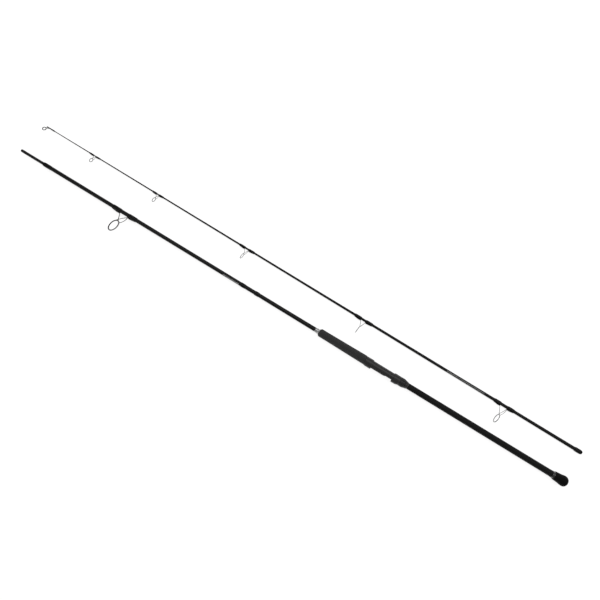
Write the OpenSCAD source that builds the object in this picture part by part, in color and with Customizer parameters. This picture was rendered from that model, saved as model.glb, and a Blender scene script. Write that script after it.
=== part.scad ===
// Two-piece fishing rod, lying in its two sections side by side, with no reel fitted.
// Units are millimetres. X runs along both sections, towards the butt. Z is up, and the rod lies on Z = 0.
// Within a section, s is the distance from that section's tip-side end, and the guides point along local +Z.

/* [Layout] */
// Distance between the axes of the two sections as they lie
section_gap = 99; // [90:1:140]
// How far the tip section starts behind the end of the spigot
tip_set_back = 9; // [0:1:40]

/* [Spigot and butt blank] */
// Length of spigot that stands out of the blank
spigot_len = 77; // [60:1:85]
// Outside radius of the spigot
spigot_r = 4.4; // [4.2:0.1:4.5]
// Length of blank between the spigot and the foregrip
fore_blank_len = 951; // [800:1:1100]
// Outside radius of the blank at its spigot end
blank_front_r = 5.9; // [5.8:0.1:6.2]
// Outside radius of the blank in front of the foregrip
blank_grip_r = 6.6; // [6.4:0.1:7.2]
// Outside radius of the blank behind the reel seat
blank_seat_r = 7.9; // [7.7:0.1:8.0]
// Outside radius of the blank at the butt
blank_butt_r = 8.9; // [8.6:0.1:8.9]
// Wall of the butt blank
blank_wall = 1.3; // [1:0.1:1.4]

/* [Grips and cap] */
// Length of the foregrip
foregrip_len = 158; // [120:1:220]
// Foregrip radius at its front end
foregrip_front_r = 12.2; // [12:0.1:14]
// Foregrip radius at the reel seat
foregrip_rear_r = 13.9; // [13.8:0.1:15]
// Length of the rear grip
rear_grip_len = 496; // [300:1:600]
// Rear grip radius behind the reel seat
rear_grip_front_r = 9.2; // [9.1:0.1:9.6]
// Rear grip radius at the butt
rear_grip_rear_r = 9.9; // [9.8:0.1:10.2]
// Length of the collar in front of the butt cap
collar_len = 8; // [6:0.5:10]
// Length of the butt cap
cap_len = 44; // [42:1:60]
// Largest radius of the butt cap
cap_r = 16.2; // [15.6:0.1:17]

/* [Reel seat] */
// Outside radius of the seat barrel
barrel_r = 11.5; // [11.4:0.1:11.6]
// Inside radius of the seat barrel
seat_bore_r = 8.5; // [8.4:0.1:8.6]
// Height of the flat that the reel foot sits on, above the rod's axis
saddle_z = 9.4; // [9.3:0.1:9.5]
// Length of the fixed hood
fixed_hood_len = 25; // [22:1:30]
// Open distance between the two hoods
foot_gap = 72; // [65:1:80]
// Length of the sliding hood
sliding_hood_len = 22; // [20:1:26]
// Half the width of a hood's pocket
pocket_half = 7; // [6:0.5:7]
// Length of the locking nut
nut_len = 16.7; // [15:0.1:20]
// Radius of the locking nut
nut_r = 13.6; // [13.2:0.1:14]
// Grip grooves around the locking nut
nut_grooves = 20; // [16:2:24]
// Pitch of the seat's thread
thread_pitch = 2.5; // [2:0.5:3]

/* [Butt guide] */
// Station of the butt guide's ring along the butt section
butt_guide_s = 348; // [300:1:500]
// Distance of its ring from the rod's axis
butt_guide_offset = 47; // [45:1:50]
// Outside radius of its ring
butt_guide_r = 20; // [18:0.5:21]

/* [Tip section] */
// Length of the tip section
tip_len = 1870; // [1850:1:1880]
// Depth of the socket that takes the spigot
socket_depth = 80; // [78:1:85]
// Radial clearance between the spigot and its socket
socket_clearance = 0.05; // [0.02:0.01:0.08]

/* [Hidden] */
$fn = 48;

// Gap between pieces that are glued or pressed together
glue = 0.02;
// Gap between pieces that only meet face to face
touch = 0.3;
// Radial clearance where the hood and the nut slide on the barrel
slide_clearance = 0.08;

// Stations along the butt section
s_grip = spigot_len + fore_blank_len;
s_seat = s_grip + foregrip_len;
s_mouth = s_seat + fixed_hood_len;
s_hood = s_mouth + foot_gap;
s_nut = s_hood + sliding_hood_len + touch;
s_end_ring = s_nut + nut_len + touch;
end_ring_len = 7.7;
trim_ring_len = 3;
s_rear = s_end_ring + end_ring_len + trim_ring_len;
s_collar = s_rear + rear_grip_len;
s_cap = s_collar + collar_len;
butt_len = s_cap + cap_len;
cap_wall = 12;
spigot_seat = 90;
plug_len = 3;
spigot_bore_r = 2.6;
spigot_glue_r = spigot_r - 0.4;

butt_profile = [
    [spigot_len, blank_front_r],
    [s_grip - 238, blank_front_r + 0.1],
    [s_grip - 38, blank_grip_r],
    [s_rear, blank_seat_r],
    [butt_len - cap_wall, blank_butt_r]
];

// Outside radius of the tip blank along its length
tip_start = 12;
tip_profile = [
    [tip_start, 1.2],
    [206, 1.75],
    [468, 2.35],
    [935, 3.45],
    [1215, 4.2],
    [1683, 5],
    [tip_len, 5.55]
];
socket_r = spigot_r + socket_clearance;
ferrule_wrap = 1.35;
ferrule_len = 21;

// One guide: station, offset, ring radius, wire radius, front gap, rear gap, whipping length, lean, whipping
butt_guide = [butt_guide_s, butt_guide_offset, butt_guide_r, 0.95, 4.5, 21, 27, 9, 1.05];
guides = [
    [176, 17, 7, 0.55, 2, 4, 15, 9, 0.7],
    [396, 20, 8, 0.6, 2.5, 4, 15, 7, 0.8],
    [706, 26, 10, 0.65, 5, 6.5, 19, 7, 1],
    [1111, 34, 13, 0.75, 5.5, 9, 23, 5, 1.25],
    [1598, 44, 15, 0.8, 8, 15, 22, 5, 1.2]
];
tip_top = [7.5, 9.2, 6.2, 0.6, 0, 0, 0, 20, 0];
// How far the rear legs bow backwards, sideways and towards the blank, as shares of a guide's offset
leg_bow = [0.05, 0.07, 0.03];

// How the sections lie: each rests on its fattest end and on the ring of its largest guide
butt_z = cap_r;
butt_roll = asin((butt_guide_r - butt_z) / butt_guide_offset);
tip_z = tip_profile[len(tip_profile) - 1][1] + ferrule_wrap;
tip_roll = asin((guides[4][2] - tip_z) / guides[4][1]);
butt_y = (butt_guide_offset * cos(butt_roll) + butt_guide_r - section_gap - tip_z) / 2;

// Hoods: a round shell with a hump on the guide side, over the pocket for the reel foot
hood_shell_r = 13.5;
hump_r = 12.3;
fixed_hump_z = 3;
sliding_hump_z = 3.2;
liner_outer_r = 11.65;
liner_wall = 0.45;
pocket_back = 7;
// How much lower the flat is under the hoods and the nut than on the saddle itself
saddle_drop = 0.2;
rail_len = 51;
rail_w = 1.8;
rail_top = 11.3;
rail_inner = 6.3;
thread_root_r = 10.7;
thread_crest_r = 11.4;

function reversed(v) = [for (i = [len(v) - 1 : -1 : 0]) v[i]];

// Points of a circular arc in a profile
function arc(s, r, radius, from, to, steps = 6) =
    [for (i = [0 : steps])
        let (a = from + (to - from) * i / steps)
        [s + radius * cos(a), r + radius * sin(a)]];

// The stretch of a blank's profile between two stations, moved outwards by extra
function stretch(profile, s0, s1, extra = 0) =
    [for (p = concat([[s0, 0]], [for (q = profile) if (q[0] > s0 && q[0] < s1) q], [[s1, 0]]))
        [p[0], lookup(p[0], profile) + extra]];

// Flat-topped barrel outline of a thread whipping under its coat of varnish
function barrel(s0, s1, r0, r1, wrap) =
    let (edge = 0.15, mid = (s0 + s1) / 2, half = (s1 - s0) / 2)
    [for (i = [0 : 10]) let (a = 180 - i * 18, c = cos(a), u = sign(c) * sqrt(abs(c)))
        [mid + half * u, r0 + (r1 - r0) * (u + 1) / 2 + edge + (wrap - edge) * sqrt(abs(sin(a)))]];

// Solid of revolution about the rod's axis, from points [s, radius]
module turned(points) {
    rotate([0, 90, 0]) rotate_extrude() polygon([for (p = points) [p[1], p[0]]]);
}

module tube(outer, inner) {
    turned(concat(outer, reversed(inner)));
}

module solid_turned(outer) {
    turned(concat([[outer[0][0], 0]], outer, [[outer[len(outer) - 1][0], 0]]));
}

module wire_between(a, b, r) {
    d = b - a;
    translate(a)
        rotate([0, acos(d[2] / norm(d)), atan2(d[1], d[0])])
            cylinder(h = norm(d), r = r);
}

// Round wire along the circular arc that starts at a, passes b and ends at c
module wire_arc(a, b, c, r) {
    u = b - a;
    v = c - a;
    w = cross(u, v);
    centre = a + ((u * u) * cross(v, w) + (v * v) * cross(w, u)) / (2 * (w * w));
    radius = norm(a - centre);
    ex = (a - centre) / radius;
    ez = w / norm(w);
    ey = cross(ez, ex);
    turn = atan2((c - centre) * ey, (c - centre) * ex);
    sweep = turn < 0 ? turn + 360 : turn;
    multmatrix([
        [ex[0], ey[0], ez[0], centre[0]],
        [ex[1], ey[1], ez[1], centre[1]],
        [ex[2], ey[2], ez[2], centre[2]],
        [0, 0, 0, 1]
    ])
        rotate_extrude(angle = sweep) translate([radius, 0]) circle(r = r);
}

module on_butt() {
    translate([-butt_len / 2, butt_y, butt_z]) rotate([90 - butt_roll, 0, 0]) children();
}

module on_tip() {
    translate([tip_set_back - butt_len / 2, butt_y + section_gap, tip_z])
        rotate([90 - tip_roll, 0, 0]) children();
}

// Frame of reference of a guide's ring, with Z along the ring's own axis
module in_ring_plane(g) {
    translate([g[0], 0, g[1]]) rotate([0, 90 - g[7], 0]) children();
}

// Point on the middle of a guide's ring band, at an angle from the point nearest the blank
function ring_point(g, a) =
    let (r = g[2] - g[3])
    [g[0] + r * cos(a) * sin(g[7]), r * sin(a), g[1] - r * cos(a) * cos(g[7])];

function foot_z(g, profile) = lookup(g[0] + g[5] + g[6], profile) + g[3] + glue;

// The outer band that holds a guide's ring, with its corners taken off
module ring_band(g) {
    w = g[3];
    c = w * 0.4;
    r0 = g[2] - 2 * w;
    r1 = g[2];
    in_ring_plane(g)
        rotate_extrude()
            polygon([[r0 - c, -w], [r1 - c, -w], [r1, c - w], [r1, w - c], [r1 - c, w], [r0 - c, w]]);
}

module ring_seat(g) {
    in_ring_plane(g) cylinder(r = g[2] - 2 * g[3], h = 6 * g[3], center = true);
}

// Three-legged wire frame: one leg from the front foot, and two from the rear foot to the ring's sides
module guide_frame(g, profile) {
    wire = g[3];
    foot_inset = 3;
    leg_angle = 42;
    knuckle = wire * 1.06;
    z = foot_z(g, profile);
    front = [g[0] - g[4], 0, z];
    rear = [g[0] + g[5], 0, z];
    front_end = front - [g[6] - foot_inset, 0, 0];
    rear_end = rear + [g[6] - foot_inset, 0, 0];
    color("silver")
        difference() {
            union() {
                wire_between(front_end, front, wire);
                wire_between(rear, rear_end, wire);
                translate(front) sphere(r = knuckle);
                translate(rear) sphere(r = knuckle);
                wire_between(front, ring_point(g, 0), wire * 0.97);
                for (side = [-1, 1]) {
                    end = ring_point(g, side * leg_angle);
                    bow = (rear + end) / 2 + g[1] * [leg_bow[0], side * leg_bow[1], -leg_bow[2]];
                    wire_arc(rear, bow, end, wire * 0.92);
                }
                ring_band(g);
            }
            ring_seat(g);
        }
}

// Hard line ring pressed into a guide's band, with a rounded inner lip
module guide_ring(g) {
    half = 1.1 * g[3];
    lip = max(0.11 * g[2], 2.05 * half);
    outer = g[2] - 2 * g[3] - glue;
    color("dimgray")
        in_ring_plane(g)
            rotate_extrude()
                union() {
                    translate([outer - lip + half, 0]) circle(r = half);
                    translate([outer - lip + half, -half]) square([lip - half, 2 * half]);
                }
}

// Whipping over a guide's foot: a barrel round the blank and a second one raised over the foot
module foot_whipping(g, profile, s0, s1) {
    rise = 1.15 * g[3];
    r0 = lookup(s0, profile);
    r1 = lookup(s1, profile);
    z = foot_z(g, profile);
    color("black")
        difference() {
            union() {
                solid_turned(barrel(s0, s1, r0, r1, g[8]));
                translate([0, 0, rise]) solid_turned(barrel(s0, s1, r0 - 0.1, r1 - 0.1, g[8]));
            }
            solid_turned(stretch(profile, s0 - 2, s1 + 2, glue));
            wire_between([s0 - 2, 0, z], [s1 + 2, 0, z], g[3] + glue);
        }
}

module front_whipping(g, profile) {
    end = g[0] - g[4] - 0.5;
    foot_whipping(g, profile, end - g[6], end);
}

module rear_whipping(g, profile) {
    start = g[0] + g[5] + 0.5;
    foot_whipping(g, profile, start, start + g[6]);
}

// Plain whipping round a blank
module band_whipping(profile, s0, s1, wrap) {
    color("black")
        tube(
            barrel(s0, s1, lookup(s0, profile), lookup(s1, profile), wrap),
            stretch(profile, s0, s1, glue)
        );
}

module butt_blank() {
    glued = spigot_len + spigot_seat;
    color([0.06, 0.06, 0.065])
        tube(
            butt_profile,
            concat(
                [[spigot_len, spigot_glue_r + glue], [glued, spigot_glue_r + glue]],
                stretch(butt_profile, glued, butt_len - cap_wall, -blank_wall)
            )
        );
}

module spigot() {
    glued = spigot_len + spigot_seat - 1;
    color([0.12, 0.12, 0.13])
        tube(
            [
                [plug_len, spigot_r],
                [spigot_len, spigot_r],
                [spigot_len, spigot_glue_r],
                [glued, spigot_glue_r]
            ],
            [[plug_len, spigot_bore_r], [glued, spigot_bore_r]]
        );
}

module spigot_plug() {
    stem_r = spigot_bore_r - glue;
    stem_end = 12;
    bevel = 0.8;
    color("black")
        solid_turned([
            [0, spigot_r - bevel - 0.2],
            [bevel, spigot_r - 0.2],
            [plug_len, spigot_r - 0.2],
            [plug_len, stem_r],
            [stem_end, stem_r]
        ]);
}

module blank_end_whipping() {
    band_whipping(butt_profile, spigot_len + 2, spigot_len + 24, 0.45);
}

module upper_trim_whipping() {
    band_whipping(butt_profile, s_grip - 272, s_grip - 256, 0.6);
}

module lower_trim_whipping() {
    band_whipping(butt_profile, s_grip - 222, s_grip - 208, 0.75);
}

// Metal cone that closes the front of the foregrip
module winding_check() {
    start = s_grip - 14;
    rim = 1.1;
    rim_s = s_grip - touch - rim;
    color("silver")
        tube(
            concat(
                [[start, lookup(start, butt_profile) + 0.5], [start + 1, lookup(start, butt_profile) + 0.8]],
                [[rim_s - rim, 8.6]],
                arc(rim_s, 8.6, rim, 150, 0)
            ),
            stretch(butt_profile, start, rim_s + rim, glue)
        );
}

module foregrip() {
    nose = 5;
    tail = 1.5;
    color([0.16, 0.16, 0.16])
        tube(
            concat(
                arc(s_grip + nose, foregrip_front_r - nose, nose, 180, 95),
                arc(s_seat - touch - tail, foregrip_rear_r - tail, tail, 90, 0)
            ),
            stretch(butt_profile, s_grip, s_seat - touch, glue)
        );
}

// Space between the saddle and the underside of a hood's hump
module hood_pocket(s0, s1, hump_z, r) {
    intersection() {
        translate([s0, -pocket_half, saddle_z - saddle_drop]) cube([s1 - s0, 2 * pocket_half, 10]);
        translate([s0, 0, hump_z]) rotate([0, 90, 0]) cylinder(r = r, h = s1 - s0);
    }
}

// Thin steel lining of the pocket's roof
module hood_liner(s0, s1, hump_z) {
    color("gray")
        intersection() {
            translate([s0, glue - pocket_half, saddle_z + glue])
                cube([s1 - s0, 2 * (pocket_half - glue), 10]);
            translate([0, 0, hump_z])
                tube(
                    [[s0, liner_outer_r - glue], [s1, liner_outer_r - glue]],
                    [[s0, liner_outer_r - liner_wall], [s1, liner_outer_r - liner_wall]]
                );
        }
}

// Barrel with its thread, closed to the axis
function thread_outline() =
    let (start = s_hood + 1, turns = floor((s_end_ring - touch - start) / thread_pitch))
    concat(
        [[s_seat, barrel_r], [s_hood, barrel_r], [start, thread_root_r]],
        [for (i = [0 : turns - 1], half = [0, 1])
            half == 0
                ? [start + (i + 0.5) * thread_pitch, thread_crest_r]
                : [start + (i + 1) * thread_pitch, thread_root_r]],
        [[s_end_ring - touch, thread_root_r]]
    );

module reel_seat_body() {
    flat_start = s_mouth - 1;
    saddle_start = s_mouth + 0.5;
    saddle_end = s_hood - 0.5;
    color([0.09, 0.09, 0.1])
        difference() {
            union() {
                difference() {
                    solid_turned(thread_outline());
                    for (cut = [
                        [flat_start, saddle_start, saddle_drop],
                        [saddle_start, saddle_end, 0],
                        [saddle_end, s_end_ring, saddle_drop]
                    ])
                        translate([cut[0], -barrel_r - 1, saddle_z - cut[2]])
                            cube([cut[1] - cut[0], 2 * barrel_r + 2, 10]);
                }
                solid_turned([
                    [s_seat, hood_shell_r - 0.6],
                    [s_seat + 1, hood_shell_r],
                    [s_mouth - 1, hood_shell_r],
                    [s_mouth, hood_shell_r - 0.8]
                ]);
                translate([0, 0, fixed_hump_z])
                    solid_turned([
                        [s_seat, hump_r - 1.4],
                        [s_seat + 9, hump_r],
                        [s_mouth - 1, hump_r],
                        [s_mouth, hump_r - 0.3]
                    ]);
                for (side = [-1, 1])
                    translate([s_mouth - 2, side * (rail_inner + rail_w / 2) - rail_w / 2, saddle_z - 4])
                        cube([rail_len, rail_w, rail_top - saddle_z + 4]);
            }
            solid_turned([[s_seat - 1, seat_bore_r], [s_end_ring + 1, seat_bore_r]]);
            hood_pocket(s_seat + pocket_back, s_mouth + 1, fixed_hump_z, liner_outer_r);
        }
}

// Three bushes that centre the seat on the tapered blank
module seat_bushes() {
    bush_len = 15;
    color("tan")
        for (s = [s_seat + 5, s_seat + 58, s_seat + 112])
            tube(
                [[s, seat_bore_r - glue], [s + bush_len, seat_bore_r - glue]],
                stretch(butt_profile, s, s + bush_len, glue)
            );
}

module fixed_hood_liner() {
    hood_liner(s_seat + pocket_back + glue, s_mouth - 0.5, fixed_hump_z);
}

module seat_end_ring() {
    end = s_end_ring + end_ring_len;
    color([0.09, 0.09, 0.1])
        tube(
            concat([[s_end_ring, 11.4]], arc(s_end_ring + 1, 11.2, 0.8, 150, 60, 3), [[end, 10.5]]),
            stretch(butt_profile, s_end_ring, end, glue)
        );
}

module seat_trim_ring() {
    start = s_end_ring + end_ring_len;
    half = trim_ring_len / 2;
    color("silver")
        tube(
            arc(start + half, 8.7, half, 180, 0, 8),
            stretch(butt_profile, start, start + trim_ring_len, glue)
        );
}

module rear_grip() {
    round_r = 0.8;
    end = s_collar - glue;
    color([0.05, 0.05, 0.05])
        tube(
            concat(
                arc(s_rear + glue + round_r, rear_grip_front_r - round_r, round_r, 180, 90, 3),
                arc(end - round_r, rear_grip_rear_r - round_r, round_r, 90, 0, 3)
            ),
            stretch(butt_profile, s_rear + glue, end, glue)
        );
}

module butt_collar() {
    end = s_cap - glue;
    groove = 0.6;
    color([0.2, 0.2, 0.21])
        tube(
            [
                [s_collar, 10.2],
                [s_collar + 0.6, 10.7],
                [s_collar + 3, 10.7],
                [s_collar + 3.4, 10.7 - groove],
                [s_collar + 4.4, 10.7 - groove],
                [s_collar + 4.8, 10.9],
                [end - 0.6, 11.2],
                [end, 10.9]
            ],
            stretch(butt_profile, s_collar, end, glue)
        );
}

module butt_cap() {
    end_round = 10;
    color([0.04, 0.04, 0.04])
        turned(concat(
            [[s_cap, lookup(s_cap, butt_profile) + glue]],
            [[s_cap, 11.3], [s_cap + 1, 12.2], [s_cap + 5, 13.1], [s_cap + 12, 13.6]],
            arc(s_cap + 31.5, cap_r - 24, 24, 110, 90, 4),
            arc(butt_len - end_round, cap_r - end_round, end_round, 90, 0, 8),
            [[butt_len, 0], [butt_len - cap_wall + glue, 0]],
            [[butt_len - cap_wall + glue, blank_butt_r + glue]]
        ));
}

// Hood that slides on the barrel to grip the reel foot; a flat land at its back keeps it from turning
module sliding_hood() {
    pocket_end = s_hood + 15;
    hood_end = s_hood + sliding_hood_len;
    bore_r = barrel_r + slide_clearance;
    color([0.09, 0.09, 0.1])
        difference() {
            union() {
                solid_turned([
                    [s_hood, hood_shell_r - 0.6],
                    [s_hood + 1, hood_shell_r + 0.1],
                    [hood_end - 3, hood_shell_r + 0.1],
                    [hood_end, hood_shell_r - 0.5]
                ]);
                translate([0, 0, sliding_hump_z])
                    solid_turned([
                        [s_hood, hump_r - 0.3],
                        [s_hood + 1, hump_r + 0.1],
                        [s_hood + 12, hump_r + 0.1],
                        [hood_end, hump_r - 2.2]
                    ]);
            }
            solid_turned([[s_hood - 1, bore_r], [pocket_end, bore_r]]);
            intersection() {
                solid_turned([[pocket_end - 1, bore_r], [hood_end + 1, bore_r]]);
                translate([pocket_end - 2, -20, -20])
                    cube([sliding_hood_len, 40, 20 + saddle_z + slide_clearance]);
            }
            hood_pocket(s_hood - 1, pocket_end, sliding_hump_z, liner_outer_r);
        }
}

module sliding_hood_liner() {
    hood_liner(s_hood + 0.5, s_hood + 15 - glue, sliding_hump_z);
}

// Knurled ring nut that screws along the barrel behind the sliding hood
module locking_nut() {
    end = s_nut + nut_len;
    groove_r = 0.9;
    color([0.12, 0.12, 0.13])
        difference() {
            turned([
                [s_nut, barrel_r + slide_clearance],
                [s_nut, nut_r - 0.5],
                [s_nut + 0.8, nut_r],
                [end - 4.5, nut_r],
                [end, 12.3],
                [end, barrel_r + slide_clearance]
            ]);
            for (i = [0 : nut_grooves - 1])
                rotate([i * 360 / nut_grooves, 0, 0])
                    translate([s_nut + 2.5, 0, nut_r + 0.35])
                        rotate([0, 90, 0]) cylinder(r = groove_r, h = nut_len);
        }
}

module tip_blank() {
    hollow_start = 600;
    color([0.06, 0.06, 0.065])
        tube(
            tip_profile,
            [
                [tip_start, 0],
                [hollow_start, 0],
                [hollow_start, 1.1],
                [tip_len - socket_depth - 5, 4.2],
                [tip_len - socket_depth, 4.2],
                [tip_len - socket_depth, socket_r],
                [tip_len, socket_r]
            ]
        );
}

module ferrule_whipping() {
    band_whipping(tip_profile, tip_len - ferrule_len - 2, tip_len - 2, ferrule_wrap);
}

// Metal tube over the rod's end, with the end ring carried on three short struts
module tip_top_frame() {
    g = tip_top;
    tube_end = 25;
    bore_r = lookup(tube_end, tip_profile) + 0.05;
    strut_angle = 55;
    color("silver")
        difference() {
            union() {
                solid_turned([[tip_start - 2, 1.1], [tip_start - 1.2, 1.75], [tube_end, 1.75]]);
                wire_between([tip_start, 0, 0.6], ring_point(g, 0), g[3]);
                for (side = [-1, 1])
                    wire_between([tip_start + 6, side * 0.8, 0.8], ring_point(g, side * strut_angle), g[3]);
                ring_band(g);
            }
            ring_seat(g);
            solid_turned([[tip_start - 0.5, bore_r], [tube_end + 1, bore_r]]);
        }
}

module tip_top_whipping() {
    band_whipping(tip_profile, 25.5, 37, 0.75);
}

on_butt() butt_blank();
on_butt() spigot();
on_butt() spigot_plug();
on_butt() blank_end_whipping();
on_butt() guide_frame(butt_guide, butt_profile);  // butt_guide_frame
on_butt() guide_ring(butt_guide);  // butt_guide_ring
on_butt() front_whipping(butt_guide, butt_profile);  // butt_guide_front_whipping
on_butt() rear_whipping(butt_guide, butt_profile);  // butt_guide_rear_whipping
on_butt() upper_trim_whipping();
on_butt() lower_trim_whipping();
on_butt() winding_check();
on_butt() foregrip();
on_butt() reel_seat_body();
on_butt() seat_bushes();
on_butt() fixed_hood_liner();
on_butt() seat_end_ring();
on_butt() seat_trim_ring();
on_butt() rear_grip();
on_butt() butt_collar();
on_butt() butt_cap();
on_butt() sliding_hood();
on_butt() sliding_hood_liner();
on_butt() locking_nut();
on_tip() tip_blank();
on_tip() ferrule_whipping();
on_tip() tip_top_frame();
on_tip() guide_ring(tip_top);  // tip_top_ring
on_tip() tip_top_whipping();
on_tip() guide_frame(guides[0], tip_profile);  // guide_1_frame
on_tip() guide_ring(guides[0]);  // guide_1_ring
on_tip() front_whipping(guides[0], tip_profile);  // guide_1_front_whipping
on_tip() rear_whipping(guides[0], tip_profile);  // guide_1_rear_whipping
on_tip() guide_frame(guides[1], tip_profile);  // guide_2_frame
on_tip() guide_ring(guides[1]);  // guide_2_ring
on_tip() front_whipping(guides[1], tip_profile);  // guide_2_front_whipping
on_tip() rear_whipping(guides[1], tip_profile);  // guide_2_rear_whipping
on_tip() guide_frame(guides[2], tip_profile);  // guide_3_frame
on_tip() guide_ring(guides[2]);  // guide_3_ring
on_tip() front_whipping(guides[2], tip_profile);  // guide_3_front_whipping
on_tip() rear_whipping(guides[2], tip_profile);  // guide_3_rear_whipping
on_tip() guide_frame(guides[3], tip_profile);  // guide_4_frame
on_tip() guide_ring(guides[3]);  // guide_4_ring
on_tip() front_whipping(guides[3], tip_profile);  // guide_4_front_whipping
on_tip() rear_whipping(guides[3], tip_profile);  // guide_4_rear_whipping
on_tip() guide_frame(guides[4], tip_profile);  // guide_5_frame
on_tip() guide_ring(guides[4]);  // guide_5_ring
on_tip() front_whipping(guides[4], tip_profile);  // guide_5_front_whipping
on_tip() rear_whipping(guides[4], tip_profile);  // guide_5_rear_whipping
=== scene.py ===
from math import acos, asin, atan2, ceil, cos, pi, radians, sin, sqrt

import bmesh
import bpy
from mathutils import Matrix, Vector


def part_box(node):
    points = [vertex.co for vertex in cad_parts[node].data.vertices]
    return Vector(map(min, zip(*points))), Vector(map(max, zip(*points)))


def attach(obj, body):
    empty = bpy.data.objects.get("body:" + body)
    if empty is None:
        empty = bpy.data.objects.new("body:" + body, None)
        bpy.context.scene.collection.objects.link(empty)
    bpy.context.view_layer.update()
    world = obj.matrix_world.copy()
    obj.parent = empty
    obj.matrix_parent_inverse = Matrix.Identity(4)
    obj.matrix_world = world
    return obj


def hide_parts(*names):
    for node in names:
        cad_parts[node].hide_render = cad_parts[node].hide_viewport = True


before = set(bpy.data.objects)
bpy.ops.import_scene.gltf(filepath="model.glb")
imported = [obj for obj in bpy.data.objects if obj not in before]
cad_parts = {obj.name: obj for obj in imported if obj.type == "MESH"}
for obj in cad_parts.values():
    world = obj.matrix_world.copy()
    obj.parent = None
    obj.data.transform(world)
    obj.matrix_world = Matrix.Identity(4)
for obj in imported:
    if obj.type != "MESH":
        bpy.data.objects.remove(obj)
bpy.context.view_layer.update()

scene = bpy.context.scene
MM = 0.001
X = Vector((1, 0, 0))

# Sizes are in mm and angles in degrees. Stations run back along a section: from the spigot's end on the
# butt section, and from 10 mm ahead of the tip's tube on the tip section.

# Stations along the butt section. A whipping is its two stations and its thickness; a pair of stripes is
# its two stations and the stripes' turns round the blank from the guides' side.
BLANK_MOUTH = 77
WHIPPINGS = {"blank_end": (79, 101, 0.45), "upper_trim": (756, 772, 0.6), "lower_trim": (806, 820, 0.75)}
BUTT_STRIPES = (698, 752, (32, 62))
GRIP = 1028
CHECK = GRIP - 14
SEAT = 1186
FIXED_POCKET = SEAT + 7
MOUTH = SEAT + 25
HOOD = MOUTH + 72
HOOD_END = HOOD + 22
NUT = HOOD_END + 0.3
NUT_END = NUT + 16.7
SEAT_END = NUT_END + 0.3
REAR_GRIP = 1333
COLLAR = 1829
CAP = 1837
BLANK_END = 1869
BUTT_END = 1881

# Stations along the tip section; the ferrule's whipping and the socket are measured from its open end
TIP_END = 12
TIP_STRIPES = (1402, 1531, (39, 82))
FERRULE_WHIPPING = (23, 2, 1.35)
TIP_WHIPPING = (25.5, 37, 0.75)
TIP_TUBE = (10, 25)
SOCKET_DEPTH = 80

# Outside radius of each blank at its stations, the width of a tow in the weave, the joint's radii, the
# plug's rear end, and the gap left between two pieces that are glued or pressed together
BUTT_PROFILE = [[BLANK_MOUTH, 5.9], [790, 6.0], [990, 6.6], [REAR_GRIP, 7.9], [BLANK_END, 8.9]]
TIP_PROFILE = [[TIP_END, 1.2], [206, 1.75], [468, 2.35], [935, 3.45], [1215, 4.2], [1683, 5],
               [1870, 5.55]]
TOW = 1.2
SPIGOT_RADIUS = 4.4
SOCKET_RADIUS = 4.45
PLUG_END = 3
GAP = 0.02

# Line guides: the ring's outside radius, the wire's radius, how far ahead of the ring and behind it the
# feet start, the length and thickness of the whippings, and the ring's lean. Then, for every guide: how far
# short of its whipping's end a foot stops, the rear legs' angle at the ring, the way they bow (as shares of
# the ring's height) and the squareness of the band's wire.
BUTT_GUIDE = {"ring": 20, "wire": 0.95, "front": 4.5, "rear": 21, "whip": 27, "wrap": 1.05, "lean": 9}
TIP_GUIDES = [
    {"ring": 7, "wire": 0.55, "front": 2, "rear": 4, "whip": 15, "wrap": 0.7, "lean": 9},
    {"ring": 8, "wire": 0.6, "front": 2.5, "rear": 4, "whip": 15, "wrap": 0.8, "lean": 7},
    {"ring": 10, "wire": 0.65, "front": 5, "rear": 6.5, "whip": 19, "wrap": 1, "lean": 7},
    {"ring": 13, "wire": 0.75, "front": 5.5, "rear": 9, "whip": 23, "wrap": 1.25, "lean": 5},
    {"ring": 15, "wire": 0.8, "front": 8, "rear": 15, "whip": 22, "wrap": 1.2, "lean": 5},
]
TIP_TOP = {"ring": 6.2, "wire": 0.6, "lean": 20}
FOOT_SHORT = 4
LEG_SPREAD = 42
LEG_BOW = (0.05, 0.07, -0.03)
WIRE_POWER = 3.2

# Reel seat: levels and radii from the rod's axis. A pocket's roof is round about an axis at its lift. A
# hood's outline is a list of the distance from its front, the shell's radius, and the height and radius of
# the hump above the pocket. A flute's half width is a share of the flutes' pitch.
SADDLE = 9.4
BARREL = 11.5
SLIDE = 0.08
POCKET_HALF = 7
ROOF = 11.65
FIXED_LIFT = 3.0
SLIDING_LIFT = 3.2
SLIDING_POCKET = 15
FIXED_HOOD = [(0, 12.9, 1.6, 11.6), (0.4, 13.3, 1.8, 11.8), (1, 13.5, 2.0, 11.9), (3, 13.5, 2.5, 12.05),
              (6, 13.5, 2.85, 12.2), (9, 13.5, 3.0, 12.3), (23, 13.5, 3.0, 12.3), (24.2, 13.4, 3.0, 12.25),
              (24.75, 13.1, 3.0, 12.0), (25, 12.7, 3.0, 11.9)]
SLIDING_HOOD = [(0, 12.9, 3.2, 11.9), (0.25, 13.3, 3.2, 12.15), (1, 13.6, 3.2, 12.4),
                (12, 13.6, 3.2, 12.4), (15, 13.6, 3.1, 12.2), (18, 13.6, 2.7, 11.75),
                (20, 13.5, 2.2, 11.4), (21.4, 13.3, 1.7, 11.3), (22, 12.9, 1.3, 11.2)]
RAIL_SIDE = 7.2
RAIL_LEVEL = 9.0
THREAD_PITCH = 2.5
THREAD_ROOT = 10.7
THREAD_DEPTH = 0.7
FLUTES = 20
FLUTE_DEPTH = 0.62
FLUTE_HALF = 0.24
BUSHES = (SEAT + 5, SEAT + 58, SEAT + 112)
BUSH_LENGTH = 15

# Edges sharper than this are shaded as edges
CREASE = 38


# ---------------------------------------------------------------- camera, light and floor

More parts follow.
